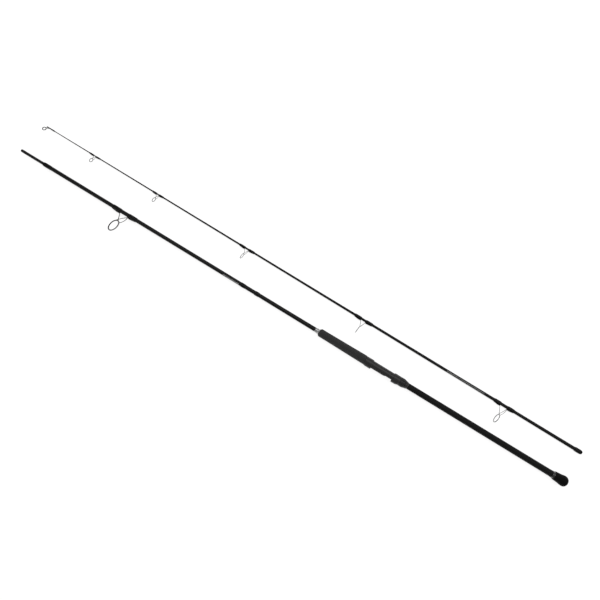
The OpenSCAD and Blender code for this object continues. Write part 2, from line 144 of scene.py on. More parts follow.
def add_camera():
    data = bpy.data.cameras.new("camera")
    data.sensor_width = 36
    data.lens = 25.2
    data.shift_x = -0.0633
    data.shift_y = 0.0383
    camera = bpy.data.objects.new("camera", data)
    camera.location = (0.1205, 0.032, 1.255)
    camera.rotation_euler = (0, 0, radians(31.4))
    scene.collection.objects.link(camera)
    scene.camera = camera


def add_softbox(name, place, size, power):
    """Rectangular light aimed at the middle of the floor; metres and watts."""
    data = bpy.data.lights.new(name, "AREA")
    data.shape = "RECTANGLE"
    data.size = size[0]
    data.size_y = size[1]
    data.energy = power
    light = bpy.data.objects.new(name, data)
    light.location = place
    light.rotation_euler = (-Vector(place)).to_track_quat("-Z", "Y").to_euler()
    scene.collection.objects.link(light)


def add_light():
    world = bpy.data.worlds.new("studio")
    world.use_nodes = True
    world.node_tree.nodes["Background"].inputs["Color"].default_value = (1, 1, 1, 1)
    world.node_tree.nodes["Background"].inputs["Strength"].default_value = 0.2
    scene.world = world
    add_softbox("overhead", place=(0.2, 1.1, 2.2), size=(4.6, 1.5), power=24)
    add_softbox("side", place=(-1.8, -1.6, 1.7), size=(1.0, 0.7), power=3)
    scene.view_settings.view_transform = "Standard"
    scene.view_settings.look = "None"


# ---------------------------------------------------------------- materials

class Look:
    """One node material: a Principled shader and the small texture graph that feeds it."""

    def __init__(self, name, rough, metal=0.0, **sockets):
        self.material = bpy.data.materials.new(name)
        self.material.use_nodes = True
        self.tree = self.material.node_tree
        self.shader = self.tree.nodes["Principled BSDF"]
        self.shader.inputs["Roughness"].default_value = rough
        self.shader.inputs["Metallic"].default_value = metal
        for socket, value in sockets.items():
            self.shader.inputs[socket.replace("_", " ")].default_value = value
        coordinates = self.add("ShaderNodeTexCoord")
        self.place = coordinates.outputs["Object"]
        self.uv = coordinates.outputs["UV"]
        self.normal = None

    def add(self, kind, inputs=None, **settings):
        node = self.tree.nodes.new(kind)
        for key, value in settings.items():
            setattr(node, key, value)
        for key, value in (inputs or {}).items():
            if isinstance(value, bpy.types.NodeSocket):
                self.tree.links.new(value, node.inputs[key])
            else:
                node.inputs[key].default_value = value
        return node

    def math(self, operation, a, b=0.0, c=0.0):
        return self.add("ShaderNodeMath", {0: a, 1: b, 2: c}, operation=operation).outputs[0]

    def noise(self, size, detail, source=None, stretch=(1, 1, 1)):
        """Noise with blobs of about the given size in mm."""
        scaled = self.add("ShaderNodeMapping", {"Vector": source or self.place, "Scale": stretch}).outputs[0]
        node = self.add("ShaderNodeTexNoise", {"Vector": scaled, "Scale": 1 / (size * MM), "Detail": detail})
        return node.outputs[0]

    def streaks(self, size, detail, stretch):
        """Noise drawn out along one way of the surface's own UVs."""
        return self.noise(size, detail, self.uv, stretch)

    def cells(self, size):
        node = self.add("ShaderNodeTexVoronoi", {"Vector": self.place, "Scale": 1 / (size * MM)})
        return node.outputs["Distance"]

    def spread(self, value, low, high, to_low=0.0, to_high=1.0):
        return self.add("ShaderNodeMapRange", {"Value": value, "From Min": low, "From Max": high,
                                               "To Min": to_low, "To Max": to_high}).outputs[0]

    def blend(self, factor, dark, light):
        node = self.add("ShaderNodeMix", data_type="RGBA")
        for socket, value in ((node.inputs[0], factor), (node.inputs[6], dark), (node.inputs[7], light)):
            if isinstance(value, bpy.types.NodeSocket):
                self.tree.links.new(value, socket)
            else:
                socket.default_value = value if isinstance(value, float) else (*value, 1)
        return node.outputs[2]

    def colour(self, value):
        self.tree.links.new(value, self.shader.inputs["Base Color"])

    def rough(self, value, low, high, to_low, to_high):
        roughness = self.spread(value, low, high, to_low, to_high)
        self.tree.links.new(roughness, self.shader.inputs["Roughness"])

    def bump(self, height, depth, strength):
        """Relief of the given depth in mm, on top of any earlier relief."""
        inputs = {"Height": height, "Distance": depth * MM, "Strength": strength}
        if self.normal:
            inputs["Normal"] = self.normal
        self.normal = self.add("ShaderNodeBump", inputs).outputs[0]
        self.tree.links.new(self.normal, self.shader.inputs["Normal"])


def grey(value, warmth=0.0):
    """Grey, with its red raised by a share."""
    return value * (1 + warmth), value, value


def weave(look):
    """Plain weave: relief of each tow, a chequer that tells the two directions apart, and the fibres."""
    split = look.add("ShaderNodeSeparateXYZ", {0: look.uv})
    ways = [look.math("DIVIDE", split.outputs[i], TOW * MM) for i in (0, 1)]
    domes = [look.math("SINE", look.math("MULTIPLY", look.math("FRACT", way), pi)) for way in ways]
    relief = look.math("MULTIPLY", *domes)
    cell = look.math("ADD", *(look.math("FLOOR", way) for way in ways))
    chequer = look.math("MODULO", cell, 2.0)
    lengthwise = look.streaks(0.25, 2, (0.06, 1, 1))
    crosswise = look.streaks(0.25, 2, (1, 0.06, 1))
    fibres = look.add("ShaderNodeMix", {0: chequer, 2: lengthwise, 3: crosswise}, data_type="FLOAT")
    return relief, chequer, fibres.outputs[0]


def stripe_mask(look, start, end, marks, width):
    """Thin stripes along a blank, between two stations, at the given angles from the guides' side."""
    split = look.add("ShaderNodeSeparateXYZ", {0: look.add("ShaderNodeUVMap", uv_map="turn").outputs[0]})
    station, turn = split.outputs[0], split.outputs[1]
    inside = look.math("MULTIPLY", look.math("GREATER_THAN", station, start * MM),
                       look.math("LESS_THAN", station, end * MM))
    lines = None
    for angle in marks:
        line = look.math("COMPARE", turn, angle / 360, width / 360)
        lines = line if lines is None else look.math("MAXIMUM", lines, line)
    return look.math("MULTIPLY", inside, lines)


def blank_look(name, tones, stripes, width):
    """Lacquered carbon weave, with two painted pinstripes."""
    look = Look(name, 0.34, Coat_Weight=0.14, Coat_Roughness=0.2, Specular_IOR_Level=0.2)
    relief, chequer, fibres = weave(look)
    tone = look.math("MULTIPLY_ADD", fibres, 0.7, look.math("MULTIPLY", chequer, 0.22))
    base = look.blend(tone, grey(tones[0], 0.04), grey(tones[1], 0.04))
    paint = stripe_mask(look, *stripes, width)
    scuffs = look.noise(9, 3)
    look.colour(look.blend(paint, base, grey(0.85)))
    look.rough(look.math("ADD", look.math("MULTIPLY", scuffs, 0.6), look.math("MULTIPLY", relief, 0.4)),
               0.2, 0.8, 0.42, 0.27)
    look.bump(relief, 0.03, 0.6)
    look.bump(fibres, 0.008, 0.6)
    return look.material


def whipping_look():
    """Fine thread wound round the blank, under thick clear varnish."""
    look = Look("whipping", 0.5, Coat_Weight=0.3, Coat_Roughness=0.08, Specular_IOR_Level=0.1)
    split = look.add("ShaderNodeSeparateXYZ", {0: look.uv})
    pitch = 0.28
    thread = look.math("SINE", look.math("MULTIPLY", split.outputs[0], 2 * pi / (pitch * MM)))
    fuzz = look.streaks(0.12, 2, (1, 0.1, 1))
    tone = look.math("MULTIPLY_ADD", look.spread(thread, -1, 1), 0.6, look.math("MULTIPLY", fuzz, 0.4))
    look.colour(look.blend(tone, grey(0.0015), grey(0.007)))
    look.rough(fuzz, 0.3, 0.7, 0.38, 0.6)
    look.bump(thread, 0.03, 0.55)
    flow = look.noise(5, 1)
    coat = look.add("ShaderNodeBump", {"Height": flow, "Distance": 0.06 * MM, "Strength": 0.5})
    look.tree.links.new(coat.outputs[0], look.shader.inputs["Coat Normal"])
    return look.material


def spigot_look():
    """Bare carbon, ground round on a machine."""
    look = Look("spigot", 0.42, Specular_IOR_Level=0.35)
    grinding = look.streaks(0.18, 3, (1, 0.02, 1))
    patches = look.noise(7, 2)
    tone = look.math("MULTIPLY", grinding, patches)
    look.colour(look.blend(tone, grey(0.005, 0.12), grey(0.024, 0.12)))
    look.rough(grinding, 0.3, 0.7, 0.33, 0.52)
    look.bump(grinding, 0.012, 0.8)
    return look.material


def moulded_look(name, dark, light, rough, grain, depth, coat=0.0, specular=0.4, warmth=0.0):
    """Moulded plastic or rubber: fine eroded grain, and slow changes of tone and gloss."""
    look = Look(name, rough, Coat_Weight=coat, Coat_Roughness=0.25, Specular_IOR_Level=specular)
    fine = look.noise(grain, 3)
    slow = look.noise(14, 2)
    tone = look.math("MULTIPLY_ADD", fine, 0.55, look.math("MULTIPLY", slow, 0.45))
    look.colour(look.blend(tone, grey(dark, warmth), grey(light, warmth)))
    look.rough(slow, 0.3, 0.7, rough - 0.06, rough + 0.08)
    look.bump(fine, depth, 0.8)
    return look.material


def foam_look():
    """Closed-cell foam, ground on a lathe: open cells of several sizes in a matt skin."""
    look = Look("foregrip_foam", 0.92, Sheen_Weight=0.08, Sheen_Roughness=0.6, Specular_IOR_Level=0.15)
    big = look.spread(look.cells(0.9), 0.1, 0.55)
    small = look.spread(look.cells(0.35), 0.05, 0.5)
    mottle = look.noise(4, 4)
    cell = look.math("MULTIPLY", big, small)
    tone = look.math("MULTIPLY_ADD", cell, 0.55, look.math("MULTIPLY", mottle, 0.45))
    look.colour(look.blend(tone, grey(0.024, 0.01), grey(0.075, 0.01)))
    look.rough(cell, 0, 1, 0.97, 0.86)
    look.bump(big, 0.10, 0.7)
    look.bump(small, 0.04, 0.7)
    return look.material


def sleeve_look():
    """Rubbery shrink sleeve: fine pebbled grain over faint lengthwise flow lines."""
    look = Look("grip_sleeve", 0.62, Specular_IOR_Level=0.2)
    pebble = look.spread(look.cells(0.55), 0.08, 0.6)
    flow = look.streaks(1.6, 2, (0.05, 1, 1))
    tone = look.math("MULTIPLY_ADD", pebble, 0.5, look.math("MULTIPLY", flow, 0.5))
    look.colour(look.blend(tone, grey(0.0035), grey(0.0125)))
    look.rough(look.math("MULTIPLY", pebble, flow), 0, 0.7, 0.72, 0.52)
    look.bump(pebble, 0.05, 0.6)
    look.bump(flow, 0.03, 0.5)
    return look.material


def metal_look(name, dark, light, rough, turned=True, warmth=0.0):
    """Turned or drawn metal: fine tool lines, and slow changes of tone."""
    look = Look(name, rough, metal=1.0)
    lines = look.streaks(0.12, 3, (1, 0.02, 1) if turned else (0.03, 1, 1))
    slow = look.noise(3, 3)
    tone = look.math("MULTIPLY_ADD", lines, 0.5, look.math("MULTIPLY", slow, 0.5))
    look.colour(look.blend(tone, grey(dark, warmth), grey(light, warmth)))
    look.rough(lines, 0.3, 0.7, rough - 0.07, rough + 0.08)
    look.bump(lines, 0.006, 0.7)
    return look.material


def ceramic_look(name, dark, light, rough, warmth=0.0):
    """Polished ceramic: slight cloudiness under a hard gloss."""
    look = Look(name, rough, Coat_Weight=0.6, Coat_Roughness=0.05, IOR=1.75)
    cloud = look.noise(1.8, 4)
    lap = look.streaks(0.15, 2, (0.04, 1, 1))
    look.colour(look.blend(cloud, grey(dark, warmth), grey(light, warmth)))
    look.rough(lap, 0.3, 0.7, rough - 0.03, rough + 0.08)
    look.bump(lap, 0.003, 0.6)
    return look.material


def fibre_look():
    """Pale wound fibre of the seat's bushes."""
    look = Look("bush", 0.7)
    strands = look.streaks(0.5, 3, (0.1, 1, 1))
    look.colour(look.blend(strands, (0.30, 0.24, 0.14), (0.52, 0.44, 0.29)))
    look.rough(strands, 0.3, 0.7, 0.6, 0.8)
    look.bump(strands, 0.04, 0.8)
    return look.material


def floor_look():
    """Pale paper that is lit from below as well, so that shadows on it stay faint."""
    look = Look("floor", 0.85, Specular_IOR_Level=0.1, Emission_Color=(1, 1, 1, 1),
                Emission_Strength=0.84)
    paper = look.noise(3, 3)
    look.colour(look.blend(paper, grey(0.56), grey(0.58)))
    look.bump(paper, 0.02, 0.3)
    return look.material


MATERIALS = {
    "blank": blank_look("blank", (0.004, 0.014), BUTT_STRIPES, width=5.0),
    "tip_blank": blank_look("tip_blank", (0.002, 0.007), TIP_STRIPES, width=4.0),
    "spigot": spigot_look(),
    "black_plastic": moulded_look("black_plastic", 0.008, 0.02, rough=0.45, grain=0.3, depth=0.03),
    "whipping": whipping_look(),
    "guide_steel": metal_look("guide_steel", 0.26, 0.42, rough=0.3, turned=False),
    "dark_steel": metal_look("dark_steel", 0.035, 0.07, rough=0.32, turned=False, warmth=0.08),
    "ring_ceramic": ceramic_look("ring_ceramic", 0.16, 0.24, rough=0.12),
    "dark_ceramic": ceramic_look("dark_ceramic", 0.015, 0.03, rough=0.14, warmth=0.03),
    "tip_ceramic": ceramic_look("tip_ceramic", 0.012, 0.025, rough=0.12, warmth=0.05),
    "satin_metal": metal_look("satin_metal", 0.52, 0.7, rough=0.32),
    "collar_metal": metal_look("collar_metal", 0.09, 0.17, rough=0.26),
    "nut_metal": moulded_look("nut_metal", 0.010, 0.024, rough=0.4, grain=0.2, depth=0.02, coat=0.2),
    "hood_steel": metal_look("hood_steel", 0.24, 0.36, rough=0.34, turned=False),
    "seat_plastic": moulded_look("seat_plastic", 0.022, 0.046, rough=0.4, grain=0.22, depth=0.025,
                                 coat=0.15, warmth=0.06),
    "foregrip_foam": foam_look(),
    "grip_sleeve": sleeve_look(),
    "cap_rubber": moulded_look("cap_rubber", 0.002, 0.006, rough=0.68, grain=0.3, depth=0.04,
                               specular=0.15),
    "bush": fibre_look(),
}


# ---------------------------------------------------------------- shapes

class Section:
    """One rod section's own axes: s along it in mm, side across it, and up towards its guides."""

    def __init__(self, axis_node, end_node, end_station, ring_node, profile):
        low, high = (Vector(corner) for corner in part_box(axis_node))
        middle = (low + high) / 2
        ring_low, ring_high = (Vector(corner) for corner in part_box(ring_node))
        self.up = (ring_low + ring_high) / 2 - middle
        self.up.x = 0
        self.up.normalize()
        self.side = self.up.cross(X)
        self.origin = Vector((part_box(end_node)[0][0] - end_station * MM, middle.y, middle.z))
        self.profile = profile

    def world(self, p):
        return self.origin + (X * p[0] + self.side * p[1] + self.up * p[2]) * MM

    def radius(self, s):
        table = self.profile
        if s <= table[0][0]:
            return table[0][1]
        for (s0, r0), (s1, r1) in zip(table, table[1:]):
            if s <= s1:
                return r0 + (r1 - r0) * (s - s0) / (s1 - s0)
        return table[-1][1]


class Shape:
    """Points in a section's axes, and faces with UVs in metres along and around."""

    def __init__(self):
        self.points = []
        self.faces = []
        self.uvs = []

    def rows(self, rings, close=False):
        """Skins closed rings of one size; the UVs go round in a whole number of the weave's repeats."""
        count = len(rings[0])
        base = len(self.points)
        for ring in rings:
            self.points.extend(ring)
        longest = max(rings, key=lambda ring: (Vector(ring[0]) - Vector(ring[count // 2])).length)
        girth = sum((Vector(a) - Vector(b)).length for a, b in zip(longest, longest[1:] + longest[:1]))
        repeat = 2 * TOW
        girth = max(repeat, round(girth / repeat) * repeat)
        along = [0.0]
        for a, b in zip(rings, rings[1:] + rings[:1]):
            along.append(along[-1] + (Vector(a[0]) - Vector(b[0])).length)
        pairs = len(rings) if close else len(rings) - 1
        for i in range(pairs):
            j = (i + 1) % len(rings)
            u0, u1 = along[i] * MM, along[i + 1] * MM
            for k in range(count):
                m = (k + 1) % count
                v0, v1 = k / count * girth * MM, (k + 1) / count * girth * MM
                self.faces.append((base + i * count + k, base + i * count + m,
                                   base + j * count + m, base + j * count + k))
                self.uvs.append(((u0, v0), (u0, v1), (u1, v1), (u1, v0)))
        return base

    def cap(self, first, count, centre=None):
        """Closes a ring with a fan."""
        ring = self.points[first:first + count]
        middle = centre or tuple(sum(c) / count for c in zip(*ring))
        hub = len(self.points)
        self.points.append(middle)
        for k in range(count):
            m = (k + 1) % count
            self.faces.append((first + k, first + m, hub))
            self.uvs.append(tuple((p[1] * MM, p[2] * MM) for p in (ring[k], ring[m], middle)))

    def tube(self, rings):
        """Skins rings and closes both ends."""
        count = len(rings[0])
        base = self.rows(rings)
        self.cap(base, count)
        self.cap(base + (len(rings) - 1) * count, count)
        return self


def ring_at(s, radius, count, height=0.0):
    """Ring across the rod; radius is a number, or a function of the angle from the guides' side."""
    points = []
    for k in range(count):
        angle = 2 * pi * k / count
        r = radius(angle) if callable(radius) else radius
        points.append((s, r * sin(angle), height + r * cos(angle)))
    return points


def lathe(outline, count=64, shape=None):
    """Turned solid from an outline of (s, r) that is a closed loop, or starts and ends on the axis."""
    shape = shape or Shape()
    if outline[0][1] > 0:
        shape.rows([ring_at(s, r, count) for s, r in outline], close=True)
        return shape
    rings = [ring_at(s, r, count) for s, r in outline[1:-1]]
    base = shape.rows(rings)
    shape.cap(base, count, (outline[0][0], 0.0, 0.0))
    shape.cap(base + (len(rings) - 1) * count, count, (outline[-1][0], 0.0, 0.0))
    return shape


def arc(s, r, radius, start, end, steps=8):
    """Points of an outline on an arc about (s, r); angles turn from the rod's rear to its outside."""
    turns = [radians(start + (end - start) * i / steps) for i in range(steps + 1)]
    return [(s + radius * cos(a), r + radius * sin(a)) for a in turns]


def bore_line(section, s0, s1):
    """The blank's surface between two stations, from the rear one to the front one."""
    return [(s1, section.radius(s1)), (s0, section.radius(s0))]


def sweep(shape, path, radius, sides=14):
    """Round wire along a path, with domed ends; radius is a number or a function of 0..1 along it."""
    path = [Vector(p) for p in path]
    lengths = [0.0]
    for a, b in zip(path, path[1:]):
        lengths.append(lengths[-1] + (b - a).length)
    total = lengths[-1]
    size = radius if callable(radius) else lambda t: radius
    tangents = []
    for i in range(len(path)):
        step = path[min(i + 1, len(path) - 1)] - path[max(i - 1, 0)]
        tangents.append(step.normalized())
    across = tangents[0].orthogonal().normalized()
    rings = []

    def add_ring(centre, tangent, r):
        other = tangent.cross(across)
        turns = [2 * pi * k / sides for k in range(sides)]
        rings.append([tuple(centre + (across * cos(a) + other * sin(a)) * r) for a in turns])

    # Reach past the wire's end and share of its radius, both in radii
    dome = [(0.2, 0.98), (0.6, 0.8), (0.9, 0.44)]
    for index, (centre, tangent) in enumerate(zip(path, tangents)):
        across = (across - tangent * across.dot(tangent)).normalized()
        r = size(lengths[index] / total)
        if index == 0:
            for reach, share in reversed(dome):
                add_ring(centre - tangent * r * reach, tangent, r * share)
        add_ring(centre, tangent, r)
        if index == len(path) - 1:
            for reach, share in dome:
                add_ring(centre + tangent * r * reach, tangent, r * share)
    shape.tube(rings)


def rounded(points, radius, steps=6):
    """Path with its corners rounded off."""
    points = [Vector(p) for p in points]
    path = [points[0]]
    for before, corner, after in zip(points, points[1:], points[2:]):
        reach = min(radius, (before - corner).length * 0.45, (after - corner).length * 0.45)
        a = corner + (before - corner).normalized() * reach
        b = corner + (after - corner).normalized() * reach
        shares = [i / steps for i in range(steps + 1)]
        path += [a.lerp(corner, t).lerp(corner.lerp(b, t), t) for t in shares]
    return path + [points[-1]]


def bent(a, b, c, steps):
    """Points along the circular arc that starts at a, passes b and ends at c."""
    u, v = b - a, c - a
    w = u.cross(v)
    reach = v.cross(w) * u.length_squared + w.cross(u) * v.length_squared
    centre = a + reach / (2 * w.length_squared)
    first = a - centre
    other = w.normalized().cross(first)
    turn = atan2((c - centre).dot(other), (c - centre).dot(first)) % (2 * pi)
    turns = [turn * i / steps for i in range(steps + 1)]
    return [centre + first * cos(angle) + other * sin(angle) for angle in turns]


def spline(points, steps=8):
    """Smooth path through every point."""
    points = [Vector(p) for p in points]
    ends = [points[0] * 2 - points[1]] + points + [points[-1] * 2 - points[-2]]
    path = []
    for p0, p1, p2, p3 in zip(ends, ends[1:], ends[2:], ends[3:]):
        for i in range(steps):
            t = i / steps
            path.append(0.5 * (2 * p1 + (p2 - p0) * t + (2 * p0 - 5 * p1 + 4 * p2 - p3) * t * t
                               + (3 * p1 - p0 - 3 * p2 + p3) * t ** 3))
    return path + [points[-1]]


def mesh_object(name, shape, section):
    mesh = bpy.data.meshes.new(name)
    mesh.from_pydata([section.world(p) for p in shape.points], [], shape.faces)
    layer = mesh.uv_layers.new(name="UVMap")
    layer.data.foreach_set("uv", [value for face in shape.uvs for corner in face for value in corner])
    solid = bmesh.new()
    solid.from_mesh(mesh)
    bmesh.ops.recalc_face_normals(solid, faces=solid.faces)
    solid.to_mesh(mesh)
    solid.free()
    obj = bpy.data.objects.new(name, mesh)
    scene.collection.objects.link(obj)
    return obj


def carve(obj, cutters):
    """Cuts each cutter out of an object, then clears the slivers that the cuts leave along their edges."""
    for cutter in cutters:
        cut = obj.modifiers.new("cut", "BOOLEAN")
        cut.operation = "DIFFERENCE"
        cut.solver = "EXACT"
        cut.object = cutter
        cut_obj = obj.evaluated_get(bpy.context.evaluated_depsgraph_get())
        result = bpy.data.meshes.new_from_object(cut_obj)
        obj.modifiers.clear()
        obj.data = result
        bpy.data.objects.remove(cutter)
    merge, sliver = 0.004 * MM, 0.002 * MM
    solid = bmesh.new()
    solid.from_mesh(obj.data)
    bmesh.ops.remove_doubles(solid, verts=solid.verts, dist=merge)
    bmesh.ops.dissolve_degenerate(solid, edges=solid.edges, dist=sliver)
    solid.to_mesh(obj.data)
    solid.free()
    obj.data.name = obj.name


def join(target, other):
    """Adds another object's mesh to this one."""
    solid = bmesh.new()
    solid.from_mesh(target.data)
    solid.from_mesh(other.data)
    solid.to_mesh(target.data)
    solid.free()
    bpy.data.objects.remove(other)


def finish_piece(obj, body, slot, nodes, crease=CREASE, look=None):
    """Shades a piece, gives it its look, and says which body it rides and what it replaces."""
    obj.data.shade_smooth()
    obj.data.set_sharp_from_angle(angle=radians(crease))
    obj.data.materials.clear()
    obj.data.materials.append(MATERIALS[look or slot])
    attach(obj, body)
    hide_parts(*nodes)


def piece(node, shape, section, body, slot, crease=CREASE, look=None):
    obj = mesh_object(node + "_model", shape, section)
    finish_piece(obj, body, slot, [node], crease, look)
    return obj


# ---------------------------------------------------------------- blanks, whippings and guides

def add_blank(node, section, outline, body, look):
    """A blank, with a second UV layer that holds the station and the turn round from the guides' side."""
    obj = piece(node, lathe(outline, count=48), section, body, "blank", look=look)
    layer = obj.data.uv_layers.new(name="turn")
    for loop in obj.data.loops:
        p = obj.data.vertices[loop.vertex_index].co - section.origin
        turn = atan2(p.dot(section.side), p.dot(section.up)) / (2 * pi)
        layer.data[loop.index].uv = (p.x, turn)


def blank_outline(section, s0, s1, step=30):
    """The blank's surface from s0 to s1 at an even step, with every corner of its profile kept."""
    count = max(1, round((s1 - s0) / step))
    even = {s0 + (s1 - s0) * i / count for i in range(count + 1)}
    corners = {s for s, r in section.profile if s0 < s < s1}
    return [(s, section.radius(s)) for s in sorted(even | corners)]


def wrap_at(s, s0, s1, wrap):
    """Thickness of a whipping at a station: nearly square shoulders, rounded by the varnish."""
    edge = 0.05
    x = abs(2 * (s - s0) / (s1 - s0) - 1)
    return edge + (wrap - edge) * max(0.0, 1 - x ** 4) ** 0.25


def whipping_stations(s0, s1, count=26):
    """Stations that crowd towards both ends."""
    return [(s0 + s1) / 2 - (s1 - s0) / 2 * cos(pi * i / count) for i in range(count + 1)]


def add_band(node, section, s0, s1, wrap, body):
    """Plain whipping round the blank."""
    outer = [(s, section.radius(s) + wrap_at(s, s0, s1, wrap)) for s in whipping_stations(s0, s1)]
    piece(node, lathe(outer + bore_line(section, s0, s1)), section, body, "whipping", crease=60)


def taut(angle, r0, height, r1):
    """Radius, at an angle from the guides' side, of thread pulled tight round the blank and a foot on it."""
    angle = abs((angle + pi) % (2 * pi) - pi)
    if height + r1 <= r0 + 0.001:
        return r0
    lean = acos(max(-1.0, min(1.0, (r0 - r1) / height)))
    if angle >= lean:
        return r0
    if angle >= atan2(r1 * sin(lean), height + r1 * cos(lean)):
        return r0 / cos(angle - lean)
    return height * cos(angle) + sqrt(max(0.0, r1 ** 2 - (height * sin(angle)) ** 2))


def add_foot_whipping(node, section, g, near, far, body):
    """Whipping over a foot: near is its end by the ring, and the foot thins out towards far."""
    s0, s1 = min(near, far), max(near, far)
    seat = foot_height(section, g) - g["wire"]
    thinning, level_end, foot_end = 0.35, 0.6, 0.95
    rings = []
    for s in whipping_stations(s0, s1, count=34):
        wrap = wrap_at(s, s0, s1, g["wrap"])
        along = (s - near) / (far - near)
        thinned = max(0.0, along - thinning) / (foot_end - thinning)
        foot = g["wire"] * (1 - 0.85 * thinned) if along < foot_end else GAP
        base = section.radius(s)
        height = max(seat, base) + foot if along < level_end else base + foot
        rings.append(ring_at(s, lambda a: taut(a, base + wrap, height, foot + wrap), count=72))
    piece(node, Shape().tube(rings), section, body, "whipping", crease=60)


def foot_height(section, g):
    """Height of a foot's axis: level with the blank's surface at the rear whipping's end."""
    return section.radius(g["s"] + g["rear"] + g["whip"]) + g["wire"] + GAP


def foot_path(section, g, bend, way, across=0.0):
    """A foot from its thin end to the bend where its leg rises; way is -1 ahead of the ring, 1 behind."""
    tip = bend + way * (g["whip"] - FOOT_SHORT)
    low = section.radius(tip) + g["wire"] * 0.3
    height = foot_height(section, g)
    return [(tip, across, low), (bend + way * g["whip"] * 0.45, across, height), (bend, across, height)]


class Ring:
    """Axes of one guide's line ring: towards the blank, across, and along its own axis."""

    def __init__(self, g):
        lean = radians(g["lean"])
        self.centre = Vector((g["s"], 0, g["offset"]))
        self.down = Vector((sin(lean), 0, -cos(lean)))
        self.across = Vector((0, 1, 0))
        self.axis = Vector((cos(lean), 0, sin(lean)))
        self.band = g["ring"] - g["wire"]

    def at(self, angle, radius=None, along=0.0):
        """Point at an angle from the blank's side; on the wire's middle if no radius is given."""
        a = radians(angle)
        r = self.band if radius is None else radius
        return self.centre + (self.down * cos(a) + self.across * sin(a)) * r + self.axis * along

    def turned(self, shape, outline, count=96):
        """Turns a closed outline of (along the ring's axis, radius) round the ring."""
        rings = [[tuple(self.at(360 * k / count, r, along)) for along, r in outline] for k in range(count)]
        shape.rows(rings, close=True)


def pill(along, across, power, steps=20):
    """Closed cross-section between an ellipse and a rectangle, about the origin."""
    points = []
    for k in range(steps):
        a = 2 * pi * k / steps
        c, s = cos(a), sin(a)
        points.append((along * abs(c) ** (2 / power) * (1 if c > 0 else -1),
                       across * abs(s) ** (2 / power) * (1 if s > 0 else -1)))
    return points


def add_line_ring(node, section, g, body, slot):
    """Ceramic ring: straight where it is pressed into the band, and a full rounded lip inside."""
    ring = Ring(g)
    half = 1.1 * g["wire"]
    lip = max(0.11 * g["ring"], 2.05 * half)
    outer = g["ring"] - 2 * g["wire"] - GAP
    inner = outer - lip
    shoulder = [(half * 0.92, outer), (half, outer - 0.08 * lip)]
    turns = [radians(a) for a in range(90, -91, -15)]
    outline = shoulder + [(half * sin(a), inner + half - half * cos(a)) for a in turns]
    outline += [(-along, r) for along, r in reversed(shoulder)]
    shape = Shape()
    ring.turned(shape, outline)
    piece(node, shape, section, body, slot, crease=50)


def leg_size(wire, flare):
    """Radius of a leg along its length, a little fuller at the ring where it is brazed on."""
    brazed = 0.1
    return lambda t: wire * (1 + flare * max(0.0, (t - 1 + brazed) / brazed) ** 2)


def add_wire_band(shape, ring, wire):
    """The wire round a ring's ceramic."""
    ring.turned(shape, [(along, ring.band + r) for along, r in pill(wire, wire, WIRE_POWER)])


def add_guide_frame(node, section, g, body, slot):
    """Wire frame: one leg from the front foot, two bowed legs from the rear foot, and the ring's band."""
    ring = Ring(g)
    wire = g["wire"]
    shape = Shape()
    add_wire_band(shape, ring, wire)
    front = foot_path(section, g, g["s"] - g["front"], -1) + [ring.at(0, ring.band - wire * 0.2)]
    sweep(shape, rounded(front, wire * 5, steps=8), leg_size(wire * 0.97, flare=0.3))
    joined = 4
    for side in (-1, 1):
        foot = foot_path(section, g, g["s"] + g["rear"], 1, side * wire * 0.4)
        start, end = Vector(foot[-1]), ring.at(side * LEG_SPREAD)
        bow = (start + end) / 2 + Vector((LEG_BOW[0], side * LEG_BOW[1], LEG_BOW[2])) * g["offset"]
        leg = bent(start, bow, end, steps=22)
        path = rounded(foot + [leg[joined]], wire * 3.5) + leg[joined + 1:]
        sweep(shape, path, leg_size(wire * 0.92, flare=0.3))
    piece(node, shape, section, body, slot, crease=60)


def guide_sizes(section, ring_node, sizes):
    """A guide's sizes, with the ring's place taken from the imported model."""
    low, high = (Vector(corner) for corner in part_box(ring_node))
    place = (low + high) / 2 - section.origin
    return {"s": place.x / MM, "offset": place.dot(section.up) / MM, **sizes}


def add_guide(prefix, section, sizes, body, steel, ceramic):
    g = guide_sizes(section, prefix + "_ring", sizes)
    add_guide_frame(prefix + "_frame", section, g, body, steel)
    add_line_ring(prefix + "_ring", section, g, body, ceramic)
    bare = 0.5
    near = g["s"] - g["front"] - bare
    add_foot_whipping(prefix + "_front_whipping", section, g, near, near - g["whip"], body)
    near = g["s"] + g["rear"] + bare
    add_foot_whipping(prefix + "_rear_whipping", section, g, near, near + g["whip"], body)


def add_tip_top(section, body):
    """Tube over the tip, and three struts that carry the end ring."""
    g = guide_sizes(section, "tip_top_ring", TIP_TOP)
    ring = Ring(g)
    size = leg_size(g["wire"], flare=0.25)
    front, rear = TIP_TUBE
    bore = section.radius(rear) + GAP
    shape = lathe([(front, 0), (front, 0.7), (front + 0.25, 1.05), (front + 1, 1.6), (front + 1.8, 1.75),
                   (front + 3, 1.75), (rear - 0.4, 1.75), (rear - 0.1, 1.7), (rear, 1.55), (rear, bore),
                   (rear - 1, 0)], count=40)
    strut = [(18, 0, 1.4), (14, 0, 1.35), (11.5, 0, 1.7), (10.1, 0, 2.6), ring.at(0)]
    sweep(shape, spline(strut, steps=6), size)
    for side in (-1, 1):
        strut = [(23, side * 1.3, 0.9), (18, side * 1.35, 1.0), (13.2, side * 2.4, 3.0), ring.at(side * 55)]
        sweep(shape, spline(strut, steps=6), size)
    add_wire_band(shape, ring, g["wire"])
    piece("tip_top_frame", shape, section, body, "dark_steel", crease=60)
    add_line_ring("tip_top_ring", section, g, body, "tip_ceramic")


# ---------------------------------------------------------------- reel seat

def flattened(radius, level):
    """A round section with a flat on the guides' side."""
    return lambda angle: min(radius, level / cos(angle)) if cos(angle) > 0.2 else radius


